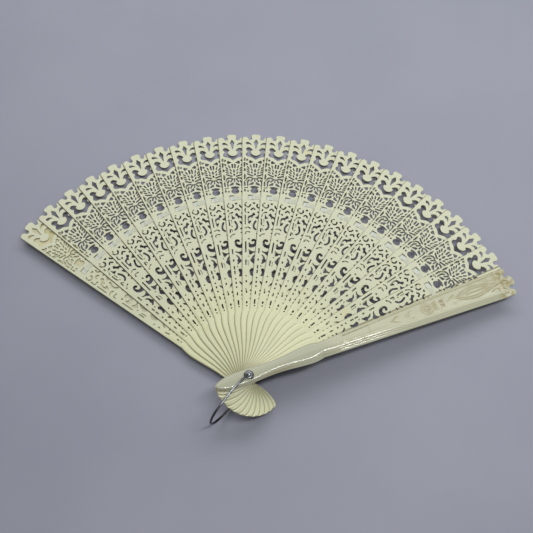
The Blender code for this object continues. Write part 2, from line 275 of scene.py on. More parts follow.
def scrolls():
    """Scrollwork below the ribbon; it isn't symmetric, and every other stick mirrors it."""
    shapes = []
    for shape in (
        [(-0.9, 124.3), (0.0, 124.5), (0.9, 124.3), (0.0, 123.2)],
        [(-1.1, 115.1), (-0.6, 116.2), (0.1, 116.6), (0.7, 115.8), (1.2, 114.8), (2.4, 114.3),
         (3.4, 113.7), (3.9, 112.2), (3.9, 110.6), (3.4, 109.0), (2.7, 107.9), (2.0, 108.8),
         (1.5, 110.0), (1.9, 110.6), (2.6, 110.0), (3.1, 110.6), (3.1, 111.8), (2.5, 112.9),
         (1.5, 113.1), (0.9, 112.4), (0.6, 113.6), (-0.3, 114.5)],
        [(-3.5, 115.5), (-2.7, 113.9), (-1.3, 113.1), (-1.6, 112.5), (-3.3, 111.9), (-3.4, 113.4)],
        [(0.7, 95.2), (0.7, 96.1), (-0.3, 96.8), (-1.5, 96.7), (-2.4, 95.8), (-2.8, 94.3),
         (-2.5, 92.7), (-1.4, 91.3), (0.0, 90.6), (1.5, 90.4), (2.5, 91.0), (2.8, 92.4),
         (2.4, 93.9), (1.8, 93.9), (1.4, 93.0), (0.4, 92.8), (-0.5, 93.2), (-1.2, 94.0),
         (-1.3, 94.9), (-0.8, 95.4), (-0.2, 94.9)],
        [(-2.5, 88.3), (-1.2, 87.6), (0.3, 87.7), (1.3, 88.2), (2.3, 89.0), (2.5, 87.4),
         (2.2, 86.0), (1.3, 85.2), (0.4, 85.8), (-0.5, 86.7), (-1.8, 87.1)],
        [(-2.2, 85.3), (-1.2, 85.0), (-0.2, 84.0), (0.3, 82.6), (1.1, 81.4), (0.6, 80.4),
         (-0.4, 79.4), (-1.5, 78.7), (-1.8, 79.3), (-1.2, 80.2), (-1.5, 81.3), (-1.1, 82.4),
         (-1.0, 83.4), (-1.7, 84.4)],
        [(-0.1, 75.7), (-0.9, 75.1), (-1.4, 74.7), (-0.8, 73.5), (-0.5, 72.2), (-0.8, 71.2),
         (-1.2, 70.4), (-0.3, 70.0), (0.6, 70.6), (1.1, 71.6), (1.7, 73.2), (0.9, 74.6)],
    ):  # fmt: skip
        shapes.append(smooth(shape, steps=2))
    for points, width, end in (
        ([(-4.8, 124.0), (-5.8, 122.7), (-5.4, 121.2), (-4.1, 120.4), (-2.7, 120.7), (-2.0, 121.8),
          (-2.3, 123.0)], 0.8, 0.9),
        ([(2.3, 122.7), (2.8, 121.5), (3.9, 120.8), (5.3, 121.3), (5.9, 122.6), (5.2, 124.1)],
         0.9, 0.8),
        ([(-0.8, 119.1), (0.4, 120.1), (1.7, 118.8)], 0.8, 0.95),
        ([(5.6, 119.4), (5.8, 117.6), (5.0, 116.4)], 0.8, 0.5),
        ([(-2.8, 117.1), (-4.2, 116.5), (-5.2, 115.1), (-5.6, 113.5)], 1.0, 0.5),
        ([(-5.5, 111.5), (-5.4, 109.2), (-4.8, 107.1)], 0.75, 0.75),
        ([(-3.9, 111.2), (-3.7, 109.0)], 0.5, 0.6),
        ([(-1.5, 110.2), (-0.7, 108.6), (-0.2, 106.8), (-0.6, 105.0), (-1.7, 104.0)], 1.15, 1.15),
        ([(5.5, 114.4), (5.4, 111.0), (5.3, 107.6)], 0.6, 0.6),
        ([(2.0, 104.6), (3.2, 105.4), (5.3, 104.7)], 0.85, 0.5),
        ([(2.0, 101.8), (3.6, 102.1)], 0.6, 0.6),
        ([(4.5, 102.0), (4.9, 100.5)], 0.6, 0.75),
        ([(-4.9, 104.3), (-5.0, 102.2)], 0.8, 0.8),
        ([(-4.0, 104.3), (-3.4, 102.9)], 0.4, 0.4),
        ([(-2.3, 100.8), (-3.8, 100.1), (-4.9, 98.8)], 0.6, 0.8),
        ([(-4.4, 89.4), (-4.3, 86.4)], 0.8, 0.8),
        ([(4.5, 94.4), (4.2, 87.1)], 0.75, 0.75),
        ([(3.95, 81.2), (3.8, 78.0)], 0.7, 0.7),
        ([(2.6, 80.6), (2.2, 79.0), (2.3, 77.4)], 0.35, 0.35),
        ([(-3.8, 77.2), (-3.7, 75.4)], 0.75, 0.75),
        ([(-3.6, 73.8), (-3.6, 72.1)], 0.8, 0.8),
        ([(-0.8, 66.0), (0.4, 64.7), (1.0, 63.4)], 1.0, 0.8),
        ([(3.3, 60.9), (2.8, 58.5)], 0.5, 0.9),
        ([(-2.9, 58.9), (-2.9, 57.3)], 0.6, 0.85),
        ([(-2.6, 53.3), (-2.6, 50.8)], 0.8, 0.95),
    ):  # fmt: skip
        shapes.append(slot(points, width, end))
    for x, y, a, b, turn in (
        (-5.6, 118.4, 0.45, 0.9, 0), (3.5, 116.6, 0.65, 0.6, 0), (-3.6, 106.6, 0.42, 0.42, 0),
        (2.6, 96.7, 0.6, 0.6, 0), (2.4, 84.0, 0.5, 0.3, 30), (-4.0, 81.5, 0.5, 0.8, 0),
        (-1.7, 77.0, 0.35, 0.6, 15), (-3.4, 68.5, 0.5, 0.5, 0), (3.4, 69.9, 0.4, 0.4, 0),
        (-3.3, 65.6, 0.5, 0.8, 0), (3.2, 66.1, 0.45, 0.8, 10), (-3.1, 62.6, 0.5, 0.6, 0),
        (0.1, 59.9, 0.75, 0.55, 15), (-0.1, 57.2, 0.4, 0.65, -20), (0.1, 54.3, 0.6, 0.5, 0),
        (-2.3, 49.2, 0.4, 0.4, 0), (2.4, 51.6, 0.5, 0.85, 0), (2.3, 49.3, 0.42, 0.4, 0),
        (0.0, 50.6, 0.3, 0.6, 0),
    ):  # fmt: skip
        shapes.append(oval(x, y, a, b, turn))
    return shapes


def pin_hole(radius):
    return oval(0, 0, radius, radius, count=20)


# ---------------------------------------------------------------- plates cut from outlines
def facing_left(loop, hole):
    """The loop wound so that its material is on its left."""
    x, y = loop[:, 0], loop[:, 1]
    area = np.sum(x * np.roll(y, -1) - np.roll(x, -1) * y)
    return loop[::-1] if (area > 0) == hole else loop


def inset(loop, distance):
    """The loop moved into its material."""
    ahead = np.roll(loop, -1, 0) - loop
    ahead /= np.linalg.norm(ahead, axis=1)[:, None] + 1e-9
    normal = np.stack([-ahead[:, 1], ahead[:, 0]], 1)
    mitre = normal + np.roll(normal, 1, 0)
    length = np.linalg.norm(mitre, axis=1)[:, None] + 1e-9
    mitre /= length
    stretch = np.clip(2 / length, 1.0, 1.6)
    return loop + mitre * distance * stretch


def inside(points, loop):
    """Which points lie in a closed loop."""
    x, y = points[:, 0], points[:, 1]
    odd = np.zeros(len(points), bool)
    for (x0, y0), (x1, y1) in zip(loop, np.roll(loop, -1, 0)):
        if y0 == y1:
            continue
        crosses = (y0 > y) != (y1 > y)
        odd ^= crosses & (x < (x1 - x0) * (y - y0) / (y1 - y0) + x0)
    return odd


def edge_distance(points, loops):
    """Distance from each point to the nearest stretch of any loop."""
    best = np.full(len(points), 1e9)
    for loop in loops:
        for a, b in zip(loop, np.roll(loop, -1, 0)):
            ab = b - a
            t = np.clip(((points - a) @ ab) / (ab @ ab + 1e-12), 0, 1)
            best = np.minimum(best, np.linalg.norm(points - a - t[:, None] * ab, axis=1))
    return best


def soften(mesh, degrees):
    """Smooth shading, but for edges sharper than some degrees."""
    mesh.shade_smooth()
    mesh.set_sharp_from_angle(angle=math.radians(degrees))


TRIANGULATION = 4  # output kind of delaunay_2d_cdt
WELD = 1e-5


def plate(name, outline, holes, thickness, bevel, sink, inner):
    """A closed plate in millimetres from z = 0 to its thickness, with chamfered edges.

    sink takes points and gives how far the upper face sinks there; inner are extra points of
    the faces, for relief.
    """
    loops = [facing_left(np.array(outline), False)]
    loops += [facing_left(np.array(hole), True) for hole in holes]
    narrow = [inset(loop, bevel) for loop in loops]
    points = [Vector(p) for p in np.concatenate(narrow + [inner])]
    edges = []
    start = 0
    for loop in loops:
        n = len(loop)
        edges += [(start + i, start + (i + 1) % n) for i in range(n)]
        start += n
    flat, _, faces, origin, _, _ = delaunay_2d_cdt(points, edges, [], TRIANGULATION, WELD)
    at = {old: new for new, olds in enumerate(origin) for old in olds}
    cap = np.array([tuple(v) for v in flat])
    middles = cap[np.array(faces)].mean(1)
    solid = np.ones(len(faces), bool)
    for hole in narrow[1:]:
        solid &= ~inside(middles, hole)
    faces = [f for f, keep in zip(faces, solid) if keep]
    high = thickness - sink(cap)
    mesh_verts = [(x, y, z) for (x, y), z in zip(cap, high)]
    mesh_verts += [(x, y, 0.0) for x, y in cap]
    count = len(cap)
    mesh_faces = [tuple(f) for f in faces]
    mesh_faces += [tuple(count + i for i in reversed(f)) for f in faces]
    start = 0
    for loop in loops:
        n = len(loop)
        base = len(mesh_verts)
        beside = high[[at[start + i] for i in range(n)]]
        rim_top = np.minimum(thickness - bevel, beside - bevel * 0.5)
        mesh_verts += [(x, y, z) for (x, y), z in zip(loop, rim_top)]
        mesh_verts += [(x, y, bevel) for x, y in loop]
        for i in range(n):
            j = (i + 1) % n
            a, b = at[start + i], at[start + j]
            mesh_faces.append((b, a, base + i, base + j))
            mesh_faces.append((base + j, base + i, base + n + i, base + n + j))
            mesh_faces.append((base + n + j, base + n + i, count + a, count + b))
        start += n
    mesh = bpy.data.meshes.new(name)
    mesh.from_pydata([tuple(c * MM for c in v) for v in mesh_verts], [], mesh_faces)
    mesh.validate()
    shape = bmesh.new()
    shape.from_mesh(mesh)
    bmesh.ops.recalc_face_normals(shape, faces=shape.faces)
    shape.to_mesh(mesh)
    shape.free()
    soften(mesh, 38)
    return mesh


ROW_SHARE = 0.87  # rows of near-equilateral triangles


def grid(low, high, left, right, step):
    """Staggered points of a rectangle, in millimetres."""
    points = []
    row = 0
    y = low
    while y <= high:
        x = left + (step / 2 if row % 2 else 0.0)
        while x <= right:
            points.append((x, y))
            x += step
        y += step * ROW_SHARE
        row += 1
    return np.array(points)


def within(points, outline, holes, margin):
    """The points well inside a plate's face."""
    keep = inside(points, outline)
    for hole in holes:
        keep &= ~inside(points, hole)
    points = points[keep]
    return points[edge_distance(points, [outline] + list(holes)) > margin]


STICK_BORE = 1.33
GUARD_BORE = 1.40
STICK_CHAMFER = 0.06
GUARD_CHAMFER = 0.22
FACE_MARGIN = 0.3  # the relief's points keep this far from every edge
WIDER = 0.07  # the openings are drawn this much wider all round


def widened(holes):
    return [inset(facing_left(np.array(hole), True), WIDER) for hole in holes]


OUTLINE = stick_outline()
SHARED = [pin_hole(STICK_BORE)] + palmette() + widened(rosette())
SLOT_HOLE = ribbon_opening()
SCROLLS = widened(scrolls())

GORGE_TOP = 49.0
GORGE_FADE = 5.0
FLUTE_WIDTH = 2.0
FLUTE_DEPTH = 0.46
FLUTE_EASE = 0.36  # every other stick's head is this much flatter


def rounding(d, width):
    """0 from a distance of width inwards, rising to 1 at the edge as a quarter circle does."""
    return 1 - np.sqrt(1 - np.clip(1 - d / width, 0, 1) ** 2)


def step_at(value, edge, soft):
    """0 below the edge and 1 above it, over a soft width."""
    t = np.clip((value - edge) / soft + 0.5, 0, 1)
    return t * t * (3 - 2 * t)


def stick_mesh(name, flip):
    """A pierced stick; flip gives the mirror image of its scrollwork."""
    lower = [mirrored(s) for s in SCROLLS] if flip else SCROLLS
    holes = SHARED + [SLOT_HOLE] + lower
    ease = FLUTE_EASE if flip else 0.0

    def sink(points):
        d = edge_distance(points, [OUTLINE])
        waist = np.clip((GORGE_TOP - points[:, 1]) / GORGE_FADE, 0, 1)
        depth = FLUTE_DEPTH - ease * (1 - step_at(points[:, 1], 2.0, 8.0))
        return waist * depth * rounding(d, FLUTE_WIDTH)

    face = within(grid(-20, GORGE_TOP, -6, 6, 0.62), OUTLINE, holes, FACE_MARGIN)
    return plate(name, OUTLINE, holes, THICK, STICK_CHAMFER, sink, face)


# ---------------------------------------------------------------- the guards' carving
def near(points, line, width):
    """1 on a line, falling to 0 at a distance of width from it."""
    best = np.full(len(points), 1e9)
    line = np.array(line, float)
    for a, b in zip(line[:-1], line[1:]):
        ab = b - a
        t = np.clip(((points - a) @ ab) / (ab @ ab + 1e-12), 0, 1)
        best = np.minimum(best, np.linalg.norm(points - a - t[:, None] * ab, axis=1))
    return np.clip(1 - best / width, 0, 1)


# Lines of the carving: distances from the rivet, and where each line is there. The panel's
# sides are measured from the middle line, the flank's crest from the edge.
PANEL_LEFT = (
    [58, 62, 80, 95, 110, 130, 150, 160, 170],
    [-3.3, -3.5, -4.3, -5.0, -5.7, -6.3, -6.9, -7.2, -7.5],
)
PANEL_RIGHT = (
    [58, 62, 75, 90, 100, 115, 130, 150, 170],
    [0.8, 0.9, 1.2, 2.0, 2.7, 3.3, 3.8, 4.5, 5.2],
)
FLANK = (
    [-20, -12, -3, 5, 12, 20, 28, 37, 43, 50, 58],
    [1.9, 2.0, 1.9, 2.1, 2.8, 3.2, 3.5, 3.4, 3.8, 4.0, 3.7],
)
PANEL_END = 172.0
FACET = 0.6  # width of the bright facet along the crest
FACET_SLOPE = 0.222
FLANK_DROP = 1.5
RELIEF_HEIGHT = 0.42
MOTIF_U = -1.2
BLOOM_R = 118.3
NOTCH_R = 129.0
PETALS = 16
ALMOND = smooth([(0.0, 139.5), (2.0, 142.5), (3.5, 148), (3.8, 153), (2.8, 159), (1.4, 164.5),
                 (0.0, 169.0), (-1.4, 164.5), (-2.8, 159), (-3.8, 153), (-3.5, 148),
                 (-2.0, 142.5)], steps=3)  # fmt: skip


def closed(loop):
    return np.concatenate([loop, loop[:1]])


def flank(r, d, on_right):
    """How far the right side of a guard slopes down from its crest, d from the edge."""
    right = np.interp(r, *PANEL_RIGHT)
    crest = np.where(r > 58, half_width(r) - right - 0.75, np.interp(r, *FLANK))
    crest = np.minimum(crest, half_width(r) - 0.3)
    tip_flat = 1 - step_at(r, 171.0, 5.0)
    beyond = np.clip(crest - d, 0, None)
    slope = np.clip((beyond - FACET) / np.maximum(crest - FACET, 0.2), 0, 1) ** 1.1
    drop = FACET_SLOPE * np.minimum(beyond, FACET) + FLANK_DROP * slope
    drop = drop * on_right * (0.35 + 0.65 * tip_flat)
    for share in (0.38, 0.68):
        line = np.clip(1 - np.abs(d - crest * share) / 0.3, 0, 1)
        drop += 0.24 * line * on_right * step_at(r, 57.0, 3.0) * tip_flat
    return drop


def relief_of(m):
    """The raised lines of the panel, at points measured from the motif's middle line."""
    relief = 0.42 * near(m, closed(ALMOND), 0.6)
    inner = (ALMOND - (0.0, 153.5)) * (0.64, 0.74) + (0.0, 153.0)
    relief += 0.36 * near(m, closed(inner), 0.55)
    relief += 0.32 * near(m, [(0.0, 146.0), (0.0, 165.0)], 0.5)
    for side in (-1, 1):
        leaf = smooth([(0.0, 141.0), (1.2 * side, 144.0), (1.9 * side, 148.0)], closed=False)
        relief += 0.34 * near(m, leaf, 0.55)
        curl = smooth([(4.0 * side, 163), (3.0 * side, 166), (4.4 * side, 168.5),
                       (5.2 * side, 166.8)], closed=False)  # fmt: skip
        relief += 0.36 * near(m, curl, 0.6)
        for low, bow, reach in ((133.0, 1.2, 2.6), (103.5, -1.0, 2.4), (94.0, 0.9, 2.0)):
            wave = smooth([(0.0, low), (bow * side, low + 1.8), (0.8 * reach * side, low + 3.0),
                           (reach * side, low + 5.0)], closed=False)  # fmt: skip
            relief += 0.30 * near(m, wave, 0.6)
    x, y = m[:, 0], m[:, 1] - BLOOM_R
    bloom = np.hypot(x, y)
    petals = 0.5 + 0.5 * np.cos(PETALS * np.arctan2(y, x))
    ring = step_at(bloom, 1.3, 0.4) * (1 - step_at(bloom, 4.0, 0.5))
    relief += 0.4 * ring * (0.3 + 0.7 * petals) + 0.4 * (1 - step_at(bloom, 0.9, 0.4))
    for k in range(7):
        x = 0.95 * (k - 3)
        relief += 0.3 * near(m, [(x * 0.8, 122.8), (x, 125.2)], 0.4)
    return np.minimum(relief, RELIEF_HEIGHT)


def carving(points):
    """How far a guard's outer face sinks at each point."""
    u, r = points[:, 0], points[:, 1]
    d = edge_distance(points, [OUTLINE])
    on_right = step_at(u, 0.0, 0.6)
    drop = flank(r, d, on_right)
    drop += 1.1 * rounding(d, 1.7) * (1 - on_right)
    right = np.interp(r, *PANEL_RIGHT)
    panel = step_at(u, np.interp(r, *PANEL_LEFT), 0.45) * (1 - step_at(u, right, 0.4))
    panel *= step_at(r, 61.5, 0.7) * (1 - step_at(r, PANEL_END, 1.0))
    depth = 0.45 + 0.22 * (1 - step_at(r, 79.0, 0.9))
    m = points - (MOTIF_U, 0.0)
    drop += step_at(r, 57.0, 3.0) * panel * (depth - relief_of(m))
    notch = (np.abs(m[:, 0]) < 2.2) & (np.abs(m[:, 1] - NOTCH_R) < 1.3)
    bridge = np.abs(m[:, 0]) < 0.45
    drop += np.where(notch, np.where(bridge, 0.1, 0.5), 0.0)
    for line in (57.6, 55.8):
        groove = 0.1 * np.clip(1 - np.abs(r - line) / 0.35, 0, 1)
        drop += groove * (1 - on_right) * step_at(d, 0.8, 0.8)
    crown = np.zeros(len(points))
    for shape in palmette()[:1] + palmette()[2:]:
        crown = np.maximum(crown, inside(points, shape).astype(float))
    return np.minimum(drop + 0.4 * crown, GUARD_THICK - 0.35)


def guard_mesh(name):
    """A thick unpierced stick with its carved face up."""
    holes = [pin_hole(GUARD_BORE)]
    fine = within(grid(52, 179.5, -10, 10, 0.36), OUTLINE, holes, FACE_MARGIN)
    coarse = within(grid(-20.5, 52, -6, 6, 0.38), OUTLINE, holes, FACE_MARGIN)
    face = np.concatenate([coarse, fine])
    return plate(name, OUTLINE, holes, GUARD_THICK, GUARD_CHAMFER, carving, face)


# ---------------------------------------------------------------- materials
def new_material(name):
    """A material with only a Principled shader and its output."""
    material = bpy.data.materials.new(name)
    material.use_nodes = True
    tree = material.node_tree
    tree.nodes.clear()
    shader = tree.nodes.new("ShaderNodeBsdfPrincipled")
    out = tree.nodes.new("ShaderNodeOutputMaterial")
    tree.links.new(shader.outputs["BSDF"], out.inputs["Surface"])
    return material, tree, shader


def object_coords(tree):
    """A piece's own coordinates in metres, as a vector and as three numbers."""
    coords = tree.nodes.new("ShaderNodeTexCoord").outputs["Object"]
    split = tree.nodes.new("ShaderNodeSeparateXYZ")
    tree.links.new(coords, split.inputs["Vector"])
    return coords, tuple(split.outputs)


PIECE_SHIFT = 40.0  # how far apart two pieces lie in the noise


def noise(tree, coords, scale, detail, stretch=None):
    """Noise that differs from piece to piece."""
    if stretch:
        turn = tree.nodes.new("ShaderNodeMapping")
        turn.inputs["Scale"].default_value = stretch
        tree.links.new(coords, turn.inputs["Vector"])
        coords = turn.outputs["Vector"]
    node = tree.nodes.new("ShaderNodeTexNoise")
    node.noise_dimensions = "4D"
    piece = tree.nodes.new("ShaderNodeObjectInfo")
    shift = calc(tree, "MULTIPLY", piece.outputs["Random"], PIECE_SHIFT)
    tree.links.new(shift, node.inputs["W"])
    node.inputs["Scale"].default_value = scale
    node.inputs["Detail"].default_value = detail
    tree.links.new(coords, node.inputs["Vector"])
    return node.outputs["Fac"]


def ramp(tree, value, low, high, to_low=0.0, to_high=1.0):
    """From to_low to to_high, smoothly, as the value goes from low to high."""
    node = tree.nodes.new("ShaderNodeMapRange")
    node.interpolation_type = "SMOOTHSTEP"
    limits = {"From Min": low, "From Max": high, "To Min": to_low, "To Max": to_high}
    for key, number in limits.items():
        node.inputs[key].default_value = number
    tree.links.new(value, node.inputs["Value"])
    return node.outputs["Result"]


def calc(tree, operation, a, b):
    node = tree.nodes.new("ShaderNodeMath")
    node.operation = operation
    for socket, value in zip(node.inputs, (a, b)):
        if isinstance(value, (int, float)):
            socket.default_value = value
        else:
            tree.links.new(value, socket)
    return node.outputs["Value"]


def product(tree, *values):
    result = values[0]
    for value in values[1:]:
        result = calc(tree, "MULTIPLY", result, value)
    return result


MIX_SOCKETS = (0, 6, 7)  # factor, A and B of a colour Mix
MIX_RESULT = 2


def mix(tree, share, a, b):
    """Colour a, with a share of colour b."""
    node = tree.nodes.new("ShaderNodeMix")
    node.data_type = "RGBA"
    for index, value in zip(MIX_SOCKETS, (share, a, b)):
        socket = node.inputs[index]
        if isinstance(value, tuple):
            socket.default_value = (*value, 1.0)
        elif isinstance(value, (int, float)):
            socket.default_value = value
        else:
            tree.links.new(value, socket)
    return node.outputs[MIX_RESULT]


def bump(tree, shader, height, strength, distance):
    node = tree.nodes.new("ShaderNodeBump")
    node.inputs["Strength"].default_value = strength
    node.inputs["Distance"].default_value = distance
    tree.links.new(height, node.inputs["Height"])
    tree.links.new(node.outputs["Normal"], shader.inputs["Normal"])


# Colours, linear
CREAM = (0.640, 0.650, 0.415)
CREAM_GREY = (0.510, 0.533, 0.380)
GUARD_CREAM = (0.430, 0.435, 0.325)
# painted shade: the darker cream of the grip
GRIP_SHADE = (0.400, 0.410, 0.305)
YELLOWED = (0.50, 0.45, 0.21)
AMBER = (0.30, 0.215, 0.085)
GUARD_AMBER = (0.33, 0.27, 0.12)
DEEP_AMBER = (0.26, 0.17, 0.055)
# painted shade for the gorge's creases
CREASE_SHADE = (0.25, 0.22, 0.12)
# painted contact shadow along the next stick's edge
EDGE_SHADOW = (0.17, 0.135, 0.065)
STAIN = (0.56, 0.49, 0.22)
SPECK = (0.50, 0.44, 0.24)
SATIN_DARK, SATIN_LIGHT = (0.52, 0.555, 0.48), (0.61, 0.65, 0.575)
SATIN_WORN = (0.58, 0.56, 0.40)
# painted shade of the ribbon under the next stick
SATIN_SHADE = (0.475, 0.495, 0.375)
RIVET_GREY = (0.20, 0.22, 0.235)
WIRE_GREY = (0.105, 0.112, 0.115)
# the colour of the painted highlight on the bail's upper arm
WIRE_HIGHLIGHT = (0.30, 0.32, 0.335)
FLOOR_DARK, FLOOR_LIGHT = (0.258, 0.270, 0.335), (0.282, 0.294, 0.360)

# Where the next stick's edge lies on a stick, for the painted shadow that edge casts: u = r *
# slope - start, in metres
NEIGHBOUR_SLOPE = math.sin(STEP) - BLADE_FLARE
NEIGHBOUR_START = BLADE_BASE * MM
PLASTIC_IOR = 1.49


def sunk(tree, z, thickness, start, end, *to):
    """A ramp between two depths below a plate's upper face, in millimetres."""
    return ramp(tree, z, (thickness - start) * MM, (thickness - end) * MM, *to)


def guard_color(tree, coords, u, r, z, thickness, color):
    """A greyer cream, with painted shade darkening the grip and amber in the carving; u and r are
    in metres, as for stick_color.
    """
    color = mix(tree, 0.75, color, GUARD_CREAM)
    # painted shade: the grip and head darker, as less light falls there
    color = mix(tree, ramp(tree, r, 0.060, 0.045, 0.0, 0.8), color, GRIP_SHADE)
    face = ramp(tree, u, 0.0045, 0.0030)
    high, low = sunk(tree, z, thickness, 0.06, 0.16), sunk(tree, z, thickness, 0.44, 0.34)
    patch = ramp(tree, noise(tree, coords, 170.0, 4.0), 0.34, 0.62, 0.12, 0.55)
    slope = product(tree, high, low, face, ramp(tree, r, 0.059, 0.062), patch)
    color = mix(tree, slope, color, GUARD_AMBER)
    patch = ramp(tree, noise(tree, coords, 260.0, 4.0), 0.45, 0.65)
    panel = sunk(tree, z, thickness, 0.30, 0.42)
    tinge = product(tree, ramp(tree, r, 0.085, 0.150), patch, panel, face, 0.35)
    color = mix(tree, tinge, color, GUARD_AMBER)
    patch = ramp(tree, noise(tree, coords, 420.0, 4.0), 0.42, 0.60)
    crown = product(tree, ramp(tree, r, 0.163, 0.171), ramp(tree, r, 0.180, 0.174), patch, 0.75)
    color = mix(tree, crown, color, GUARD_AMBER)
    patch = ramp(tree, noise(tree, coords, 70.0, 3.0), 0.35, 0.6, 0.2, 0.75)
    inner = product(tree, ramp(tree, z, 0.3 * MM, 0.1 * MM), ramp(tree, r, 0.095, 0.130), patch)
    color = mix(tree, inner, color, YELLOWED)
    side = sunk(tree, z, thickness, 0.80, 0.95)
    deep = product(tree, side, ramp(tree, z, 0.5 * MM, 0.9 * MM), face, 0.55)
    return mix(tree, deep, color, DEEP_AMBER)


def stick_color(tree, coords, u, r, z, thickness, color):
    """Amber grime and painted shade in the openings' walls, painted shade in the gorge's creases
    and a painted shadow line at the next stick.
    """
    color = mix(tree, ramp(tree, r, 0.040, 0.085, 0.0, 0.85), color, CREAM_GREY)
    # amber grime on the openings' walls, partly painted shade of the walls and of the gaps between
    # sticks
    wall = sunk(tree, z, thickness, 0.02, 0.14)
    grime_and_shade = ramp(tree, noise(tree, coords, 170.0, 3.0), 0.36, 0.58, 0.35, 0.95)
    color = mix(tree, product(tree, wall, grime_and_shade, ramp(tree, r, 0.046, 0.049)), color, AMBER)
    # painted shade: the gorge's creases darkened where the sunken stick edges meet
    crease_shade = sunk(tree, z, thickness, 0.05, 0.38, 0.0, 0.9)
    color = mix(tree, product(tree, crease_shade, ramp(tree, r, 0.049, 0.046)), color, CREASE_SHADE)
    # painted contact shadow: a dark line on the stick where the next stick's edge lies over it
    edge = calc(tree, "SUBTRACT", product(tree, r, NEIGHBOUR_SLOPE), NEIGHBOUR_START)
    away = calc(tree, "ABSOLUTE", calc(tree, "SUBTRACT", u, edge), 0.0)
    blade = ramp(tree, r, 0.052, 0.070, 0.0, 0.85)
    line = product(tree, ramp(tree, away, 0.00075, 0.0003), blade)
    color = mix(tree, line, color, EDGE_SHADOW)
    stain = ramp(tree, noise(tree, coords, 120.0, 4.0), 0.60, 0.74)
    return mix(tree, product(tree, stain, 0.35), color, STAIN)


def guard_gloss(tree, shader, u, r, fine):
    """A polished right flank from the grip up to the panel; gives the roughness."""
    grip = ramp(tree, r, 0.095, 0.080, 0.15, 1.0)
    coat = product(tree, grip, ramp(tree, u, -0.0012, 0.0004))
    tree.links.new(coat, shader.inputs["Coat Weight"])
    shader.inputs["Coat Roughness"].default_value = 0.07
    rough = ramp(tree, fine, 0.3, 0.7, 0.10, 0.17)
    rough = calc(tree, "ADD", rough, ramp(tree, r, 0.083, 0.095, 0.0, 0.17))
    return calc(tree, "ADD", rough, ramp(tree, u, 0.0002, -0.0015, 0.0, 0.24))


def ivory(name, thickness, carved):
    """Moulded ivory plastic: glossy, a little cloudy, with amber grime and painted shade in its
    openings, and painted shade in creases and along edges.
    """
    material, tree, shader = new_material(name)
    coords, (u, r, z) = object_coords(tree)
    cloud = ramp(tree, noise(tree, coords, 55.0, 2.0), 0.35, 0.7)
    fine = noise(tree, coords, 900.0, 3.0)
    grain = noise(tree, coords, 420.0, 2.0, (1.0, 0.06, 1.0))
    color = mix(tree, cloud, CREAM, tuple(c * 0.95 for c in CREAM))
    tone = guard_color if carved else stick_color
    color = tone(tree, coords, u, r, z, thickness, color)
    color = mix(tree, product(tree, ramp(tree, fine, 0.70, 0.78), 0.35), color, SPECK)
    tree.links.new(color, shader.inputs["Base Color"])
    if carved:
        rough = guard_gloss(tree, shader, u, r, fine)
    else:
        rough = ramp(tree, fine, 0.3, 0.7, 0.27, 0.40)
    tree.links.new(rough, shader.inputs["Roughness"])
    shader.inputs["IOR"].default_value = PLASTIC_IOR
    shader.inputs["Specular IOR Level"].default_value = 0.5
    height = calc(tree, "ADD", grain, product(tree, fine, 0.5))
    bump(tree, shader, height, 0.12, 0.12 * MM)
    return material


def satin(name):
    """Cream woven satin: fine threads across and along the strip, with painted shade where it runs
    under the next stick.
    """
    material, tree, shader = new_material(name)
    coords, (across, _, _) = object_coords(tree)
    heights = []
    for direction, scale in (("X", 620.0), ("Y", 900.0)):
        wave = tree.nodes.new("ShaderNodeTexWave")
        wave.wave_type = "BANDS"
        wave.bands_direction = direction
        wave.inputs["Scale"].default_value = scale
        wave.inputs["Distortion"].default_value = 0.4
        tree.links.new(coords, wave.inputs["Vector"])
        heights.append(wave.outputs["Fac"])
    weave = calc(tree, "ADD", heights[0], product(tree, heights[1], 0.6))
    color = mix(tree, ramp(tree, weave, 0.2, 1.4), SATIN_DARK, SATIN_LIGHT)
    wear_and_sheen = ramp(tree, noise(tree, coords, 260.0, 3.0), 0.5, 0.7)
    color = mix(tree, product(tree, wear_and_sheen, 0.3), color, SATIN_WORN)
    # painted shade on the ribbon's run under the next stick
    neighbour_shade = ramp(tree, across, -0.6 * MM, 0.6 * MM, 0.0, 0.85)
    color = mix(tree, neighbour_shade, color, SATIN_SHADE)
    tree.links.new(color, shader.inputs["Base Color"])
    shader.inputs["Roughness"].default_value = 0.5
    shader.inputs["Sheen Weight"].default_value = 0.3
    bump(tree, shader, weave, 0.4, 0.05 * MM)
    return material


BAIL_ANGLE = math.radians(237.0)
BAIL_FRAME = FAN @ Matrix.Rotation(BAIL_ANGLE, 4, "Z")


def arm_highlight_mask(tree, coords, height):
    """1 on the middle of the bail's upper arm, where a highlight is painted."""
    along = tree.nodes.new("ShaderNodeVectorMath")
    along.operation = "DOT_PRODUCT"
    along.inputs[1].default_value = BAIL_FRAME.col[0].to_3d()
    tree.links.new(coords, along.inputs[0])
    along = along.outputs["Value"]
    start, end = ramp(tree, along, 0.004, 0.014), ramp(tree, along, 0.029, 0.023)
    return product(tree, start, end, ramp(tree, height, 0.012, 0.018))


